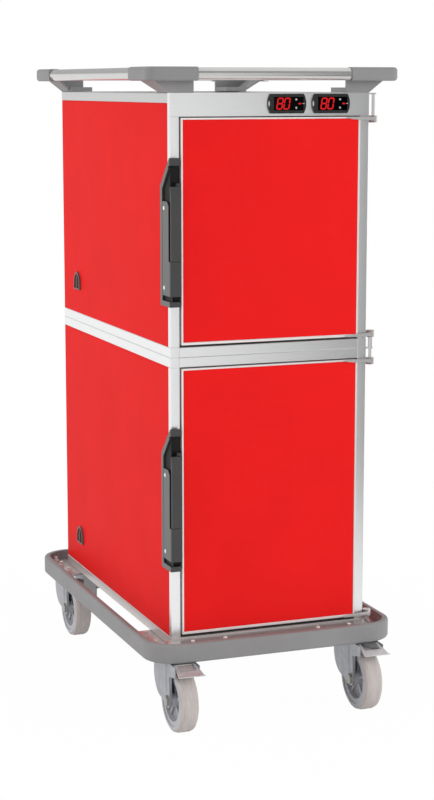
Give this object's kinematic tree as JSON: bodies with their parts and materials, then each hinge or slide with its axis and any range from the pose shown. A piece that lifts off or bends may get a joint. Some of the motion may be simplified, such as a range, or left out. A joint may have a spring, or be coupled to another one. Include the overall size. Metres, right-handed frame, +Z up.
{
  "type": "heated food transport cart",
  "caption": "Tall upright heated food transport cart with stacked insulated compartments, hinged doors with corner handles, thermostat fascia, push rail, wrap-round bumper and swivel castors.",
  "frame": {"origin": "on the floor, below the middle of the bounding box", "axes": "+Z up, -Y towards the doors, +X towards the door hinges"},
  "size_m": [0.51, 0.843, 1.2507],
  "materials": {
    "frame_aluminium": "satin anodised",
    "liner_aluminium": "plain sheet",
    "red_laminate": "fine textured laminate",
    "grey_moulding": "moulded, fine grain",
    "black_moulding": "moulded, satin",
    "gasket": "matt",
    "rail_tube": "polished tube",
    "zinc_steel": "bright zinc",
    "tyre": "non-marking grey",
    "bezel": "semi-gloss",
    "display": "dark window",
    "motor_steel": "painted",
    "element": "heat tinted"
  },
  "bodies": {
    "cart": {"bumper_ring": "grey_moulding", "chassis_frame": "zinc_steel", "castor_head_plates": "zinc_steel", "castor_bolts": "zinc_steel", "power_box": "grey_moulding", "lower_frame_posts": "frame_aluminium", "lower_frame_rails": "frame_aluminium", "upper_frame_posts": "frame_aluminium", "upper_frame_rails": "frame_aluminium", "lower_left_panel": "red_laminate", "lower_right_panel": "red_laminate", "lower_back_panel": "red_laminate", "upper_left_panel": "red_laminate", "upper_right_panel": "red_laminate", "upper_back_panel": "red_laminate", "lower_floor_panel": "liner_aluminium", "lower_ceiling_panel": "liner_aluminium", "upper_floor_panel": "liner_aluminium", "roof_panel": "liner_aluminium", "lower_runners": "liner_aluminium", "upper_runners": "liner_aluminium", "lower_heater_cover": "liner_aluminium", "upper_heater_cover": "liner_aluminium", "heating_elements": "element", "fan_motors": "motor_steel", "control_fascia": "frame_aluminium", "thermostats": "bezel", "display_windows": "display", "rail_tubes": "rail_tube", "rail_corner_fittings": "grey_moulding", "hinge_brackets": "zinc_steel", "side_vents": "black_moulding", "upper_handle_guard": "black_moulding", "lower_handle_guard": "black_moulding"},
    "upper_door": {"upper_door_panel": "red_laminate", "upper_door_edge": "frame_aluminium", "upper_door_gasket": "gasket", "upper_hinge_arms": "zinc_steel", "upper_handle_base": "black_moulding"},
    "upper_lever": {"upper_handle_lever": "black_moulding"},
    "upper_bolt": {"upper_latch_bolt": "zinc_steel"},
    "lower_door": {"lower_door_panel": "red_laminate", "lower_door_edge": "frame_aluminium", "lower_door_gasket": "gasket", "lower_hinge_arms": "zinc_steel", "lower_handle_base": "black_moulding"},
    "lower_lever": {"lower_handle_lever": "black_moulding"},
    "lower_bolt": {"lower_latch_bolt": "zinc_steel"},
    "front_left_castor": {"front_left_castor_fork": "zinc_steel"},
    "front_left_wheel": {"front_left_wheel": "tyre"},
    "front_left_pedal": {"front_left_brake_pedal": "zinc_steel"},
    "front_right_castor": {"front_right_castor_fork": "zinc_steel"},
    "front_right_wheel": {"front_right_wheel": "tyre"},
    "front_right_pedal": {"front_right_brake_pedal": "zinc_steel"},
    "rear_left_castor": {"rear_left_castor_fork": "zinc_steel"},
    "rear_left_wheel": {"rear_left_wheel": "tyre"},
    "rear_right_castor": {"rear_right_castor_fork": "zinc_steel"},
    "rear_right_wheel": {"rear_right_wheel": "tyre"},
    "upper_fan": {"upper_fan_wheel": "liner_aluminium"},
    "lower_fan": {"lower_fan_wheel": "liner_aluminium"}
  },
  "joints": [
    {"name": "upper_door_hinge", "type": "hinge", "parent": "cart", "child": "upper_door", "pos_m": [0.2085, -0.3285, 0.94955], "axis": [0, 0, 1], "range_deg": [0, 260]},
    {"name": "upper_lever_pivot", "type": "hinge", "parent": "upper_door", "child": "upper_lever", "pos_m": [-0.188, -0.3355, 0.94955], "axis": [0, 0, 1], "range_deg": [0, 25], "stiffness_Nm_per_rad": 0.6},
    {"name": "upper_bolt_slide", "type": "slide", "parent": "upper_door", "child": "upper_bolt", "axis": [1, 0, 0], "range_m": [0, 0.006]},
    {"name": "lower_door_hinge", "type": "hinge", "parent": "cart", "child": "lower_door", "pos_m": [0.2085, -0.3285, 0.44035], "axis": [0, 0, 1], "range_deg": [0, 260]},
    {"name": "lower_lever_pivot", "type": "hinge", "parent": "lower_door", "child": "lower_lever", "pos_m": [-0.188, -0.3355, 0.44735], "axis": [0, 0, 1], "range_deg": [0, 25], "stiffness_Nm_per_rad": 0.6},
    {"name": "lower_bolt_slide", "type": "slide", "parent": "lower_door", "child": "lower_bolt", "axis": [1, 0, 0], "range_m": [0, 0.006]},
    {"name": "front_left_swivel", "type": "hinge", "parent": "cart", "child": "front_left_castor", "pos_m": [-0.191, -0.3235, 0.148], "axis": [0, 0, 1], "continuous": true},
    {"name": "front_left_axle", "type": "hinge", "parent": "front_left_castor", "child": "front_left_wheel", "pos_m": [-0.191, -0.3475, 0.0625], "axis": [1, 0, 0], "continuous": true},
    {"name": "front_left_pedal_pivot", "type": "hinge", "parent": "front_left_castor", "child": "front_left_pedal", "pos_m": [-0.191, -0.3435, 0.1312], "axis": [1, 0, 0], "range_deg": [0, 12]},
    {"name": "front_right_swivel", "type": "hinge", "parent": "cart", "child": "front_right_castor", "pos_m": [0.191, -0.3235, 0.148], "axis": [0, 0, 1], "continuous": true},
    {"name": "front_right_axle", "type": "hinge", "parent": "front_right_castor", "child": "front_right_wheel", "pos_m": [0.191, -0.3475, 0.0625], "axis": [1, 0, 0], "continuous": true},
    {"name": "front_right_pedal_pivot", "type": "hinge", "parent": "front_right_castor", "child": "front_right_pedal", "pos_m": [0.191, -0.3435, 0.1312], "axis": [1, 0, 0], "range_deg": [0, 12]},
    {"name": "rear_left_swivel", "type": "hinge", "parent": "cart", "child": "rear_left_castor", "pos_m": [-0.191, 0.3665, 0.148], "axis": [0, 0, 1], "continuous": true},
    {"name": "rear_left_axle", "type": "hinge", "parent": "rear_left_castor", "child": "rear_left_wheel", "pos_m": [-0.191, 0.3425, 0.0625], "axis": [1, 0, 0], "continuous": true},
    {"name": "rear_right_swivel", "type": "hinge", "parent": "cart", "child": "rear_right_castor", "pos_m": [0.191, 0.3665, 0.148], "axis": [0, 0, 1], "continuous": true},
    {"name": "rear_right_axle", "type": "hinge", "parent": "rear_right_castor", "child": "rear_right_wheel", "pos_m": [0.191, 0.3425, 0.0625], "axis": [1, 0, 0], "continuous": true},
    {"name": "upper_fan_spin", "type": "hinge", "parent": "cart", "child": "upper_fan", "pos_m": [0, 0.3215, 0.94825], "axis": [0, 1, 0], "continuous": true},
    {"name": "lower_fan_spin", "type": "hinge", "parent": "cart", "child": "lower_fan", "pos_m": [0, 0.3215, 0.438], "axis": [0, 1, 0], "continuous": true}
  ],
  "couplings": [
    {"joint": "upper_bolt_slide", "follows": "upper_lever_pivot", "m_per_rad": 0.01374},
    {"joint": "lower_bolt_slide", "follows": "lower_lever_pivot", "m_per_rad": 0.01374}
  ]
}
